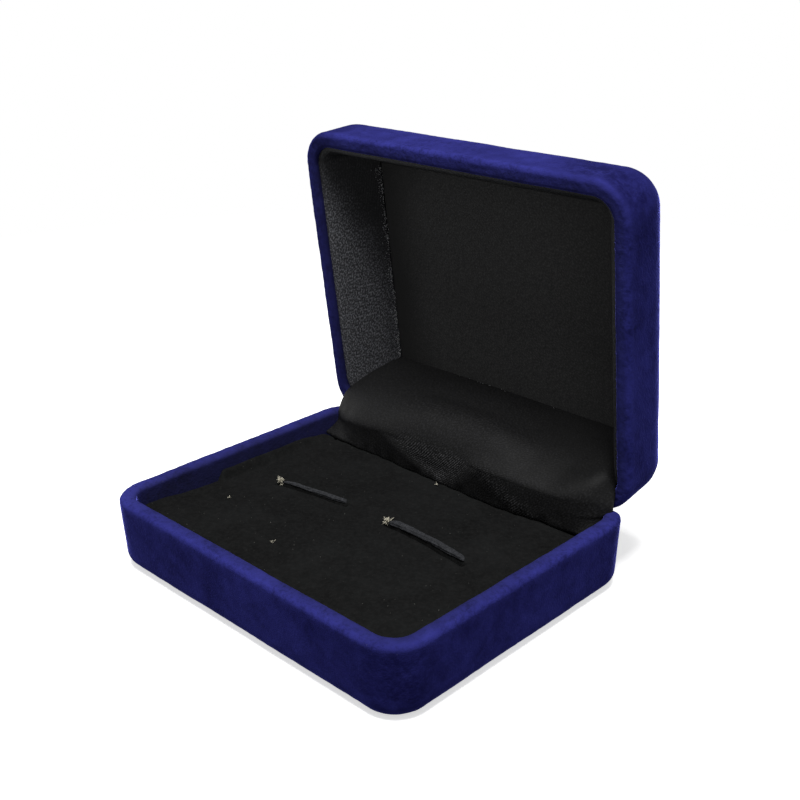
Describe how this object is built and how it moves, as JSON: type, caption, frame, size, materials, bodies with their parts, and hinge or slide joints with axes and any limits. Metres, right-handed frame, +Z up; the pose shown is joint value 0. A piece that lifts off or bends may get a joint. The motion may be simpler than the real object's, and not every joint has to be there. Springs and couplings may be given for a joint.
{
  "type": "cufflink display box",
  "caption": "Hinged velvet-covered presentation box, shown open, with a slotted velvet pad for a pair of cufflinks and a satin-lined lid.",
  "frame": {"origin": "centre of the flat underside of the base", "axes": "+Z up from the underside, +X along the hinge to the right, front of the box towards -Y; at rest the lid stands open on its stop"},
  "size_m": [0.08, 0.0768, 0.0787],
  "materials": {
    "blue_velvet": "deep blue velvet pile with a soft bright edge",
    "black_velvet": "matte black velvet pile",
    "black_satin": "black satin with a fine diagonal twill",
    "grey_satin": "charcoal satin, slightly lighter than the panel",
    "moulded_plastic": "moulded, satin",
    "grey_card": "plain grey card",
    "pad_foam": "fine-cell dark foam",
    "hinge_steel": "pressed and plated",
    "rivet_steel": "plated",
    "spring_steel": "tempered, slightly blue"
  },
  "bodies": {
    "base": {"base_velvet_cover": "blue_velvet", "base_shell": "moulded_plastic", "pad_card": "grey_card", "pad_foam": "pad_foam", "pad_velvet": "black_velvet", "hinge_base_leaf": "hinge_steel", "hinge_pin": "hinge_steel", "base_rivet_1": "rivet_steel", "base_rivet_2": "rivet_steel", "base_rivet_3": "rivet_steel", "base_rivet_4": "rivet_steel", "hinge_curtain": "black_satin"},
    "lid": {"lid_velvet_cover": "blue_velvet", "lid_shell": "moulded_plastic", "lid_panel_card": "grey_card", "lid_panel_satin": "black_satin", "lid_side_lining_satin": "grey_satin", "lid_side_lining_card": "grey_card", "hinge_lid_leaf": "hinge_steel", "lid_rivet_1": "rivet_steel", "lid_rivet_2": "rivet_steel", "lid_rivet_3": "rivet_steel", "lid_rivet_4": "rivet_steel"},
    "spring": {"snap_spring": "spring_steel"}
  },
  "joints": [
    {"name": "lid_hinge", "type": "hinge", "parent": "base", "child": "lid", "pos_m": [0, 0.0306, 0.01554], "axis": [1, 0, 0], "range_deg": [0, 83], "deforming": ["hinge_curtain"]},
    {"name": "spring_swing", "type": "hinge", "parent": "base", "child": "spring", "pos_m": [0, 0.0281, 0.00894], "axis": [1, 0, 0], "range_deg": [0, 41.5]}
  ],
  "couplings": [
    {"joint": "spring_swing", "follows": "lid_hinge", "ratio": 0.5}
  ]
}
